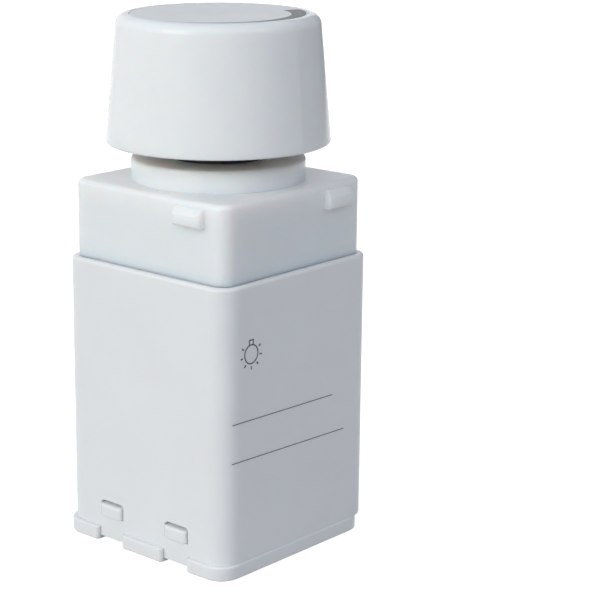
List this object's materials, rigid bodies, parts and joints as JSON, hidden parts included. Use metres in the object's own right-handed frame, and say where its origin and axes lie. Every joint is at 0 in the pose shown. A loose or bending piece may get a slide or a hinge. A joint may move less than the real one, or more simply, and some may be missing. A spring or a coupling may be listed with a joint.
{
  "type": "rotary dimmer",
  "caption": "Clip-in rotary dimmer for a wall plate: a white square housing with a collar and catches, and a tapered knob that turns and pushes.",
  "frame": {"origin": "on the knob's axis, at the underside of the base cover", "axes": "+Z along the knob's axis towards the knob; -Y towards the wall with the snap windows and the front flange; -X towards the wire entries"},
  "size_m": [0.0248, 0.0252, 0.059],
  "materials": {
    "housing_plastic": "white thermoset-like plastic, soft sheen",
    "knob_plastic": "white plastic, glossy",
    "shaft_plastic": "black glass-filled plastic",
    "white_plastic": "white plastic, plain",
    "inner_moulding": "light grey plastic, plain",
    "dark_moulding": "black moulded plastic",
    "trimmer_blue": "blue plastic",
    "circuit_board": "green varnished glass-fibre board",
    "carbon_film": "printed carbon",
    "ceramic": "tan ceramic",
    "ferrite": "dark ferrite",
    "varistor_coat": "blue epoxy coating",
    "film_box": "yellow plastic box",
    "grey_pad": "grey silicone sheet",
    "spreader_metal": "bare aluminium",
    "zinc_plate": "zinc-plated steel",
    "spring_steel": "bright spring steel",
    "tinned_metal": "tinned metal",
    "contact_brass": "brass",
    "copper": "enamelled copper wire",
    "fuse_glass": "clear glass"
  },
  "bodies": {
    "root": {"rear_housing": "housing_plastic", "front_housing": "housing_plastic", "base_cover": "housing_plastic", "potentiometer_case": "dark_moulding", "potentiometer_cover": "zinc_plate", "resistance_track": "carbon_film", "potentiometer_lugs": "tinned_metal", "potentiometer_board": "circuit_board", "board_screws": "zinc_plate", "switch_case": "dark_moulding", "switch_cover": "zinc_plate", "fixed_contacts": "contact_brass", "return_spring": "spring_steel", "link_strip": "dark_moulding", "link_pins": "tinned_metal", "main_board": "circuit_board", "power_transistors": "dark_moulding", "transistor_legs": "tinned_metal", "insulator_pad": "grey_pad", "heat_spreader": "spreader_metal", "film_capacitor": "film_box", "film_capacitor_leads": "tinned_metal", "trimmer_case": "trimmer_blue", "control_chip": "dark_moulding", "chip_legs": "tinned_metal", "chip_resistors": "dark_moulding", "chip_capacitors": "ceramic", "capacitor_can": "spreader_metal", "capacitor_sleeve": "dark_moulding", "choke_core": "ferrite", "choke_winding": "copper", "varistor": "varistor_coat", "varistor_leads": "tinned_metal", "fuse_body": "fuse_glass", "fuse_caps": "zinc_plate", "terminal_carrier": "inner_moulding", "terminal_busbars": "contact_brass"},
    "push": {"switch_plunger": "white_plastic", "contact_bridge": "contact_brass"},
    "knob": {"knob_cap": "knob_plastic", "knob_inlay": "knob_plastic", "hub_spring_ring": "spring_steel", "drive_shaft": "shaft_plastic"},
    "rotor": {"wiper_rotor": "dark_moulding", "wiper_contact": "contact_brass"},
    "trimmer": {"trimmer_rotor": "white_plastic"},
    "screw_1": {"terminal_screw_1": "zinc_plate"},
    "cage_1": {"clamp_cage_1": "zinc_plate"},
    "screw_2": {"terminal_screw_2": "zinc_plate"},
    "cage_2": {"clamp_cage_2": "zinc_plate"},
    "screw_3": {"terminal_screw_3": "zinc_plate"},
    "cage_3": {"clamp_cage_3": "zinc_plate"}
  },
  "joints": [
    {"name": "knob_push", "type": "slide", "parent": "root", "child": "push", "axis": [0, 0, 1], "range_m": [-0.0012, 0], "stiffness_N_per_m": 800, "springref_m": 0.0005, "deforming": ["return_spring"]},
    {"name": "knob_turn", "type": "hinge", "parent": "push", "child": "knob", "pos_m": [0, 0, 0.0456], "axis": [0, 0, 1], "range_deg": [-135, 135]},
    {"name": "wiper_turn", "type": "hinge", "parent": "root", "child": "rotor", "pos_m": [0, 0, 0.03], "axis": [0, 0, 1], "range_deg": [-135, 135]},
    {"name": "trimmer_turn", "type": "hinge", "parent": "root", "child": "trimmer", "pos_m": [0.0043, 0.005, 0.0115], "axis": [0, 0, 1], "range_deg": [-105, 105]},
    {"name": "screw_turn_1", "type": "hinge", "parent": "root", "child": "screw_1", "pos_m": [-0.0073, -0.006, 0.005], "axis": [0, 0, 1], "range_deg": [0, 1450]},
    {"name": "cage_rise_1", "type": "slide", "parent": "root", "child": "cage_1", "axis": [0, 0, -1], "range_m": [0, 0.002]},
    {"name": "screw_turn_2", "type": "hinge", "parent": "root", "child": "screw_2", "pos_m": [-0.0073, 0, 0.005], "axis": [0, 0, 1], "range_deg": [0, 1450]},
    {"name": "cage_rise_2", "type": "slide", "parent": "root", "child": "cage_2", "axis": [0, 0, -1], "range_m": [0, 0.002]},
    {"name": "screw_turn_3", "type": "hinge", "parent": "root", "child": "screw_3", "pos_m": [-0.0073, 0.006, 0.005], "axis": [0, 0, 1], "range_deg": [0, 1450]},
    {"name": "cage_rise_3", "type": "slide", "parent": "root", "child": "cage_3", "axis": [0, 0, -1], "range_m": [0, 0.002]}
  ],
  "couplings": [
    {"joint": "wiper_turn", "follows": "knob_turn", "ratio": 1},
    {"joint": "screw_turn_1", "follows": "cage_rise_1", "rad_per_m": 12566},
    {"joint": "screw_turn_2", "follows": "cage_rise_2", "rad_per_m": 12566},
    {"joint": "screw_turn_3", "follows": "cage_rise_3", "rad_per_m": 12566}
  ]
}
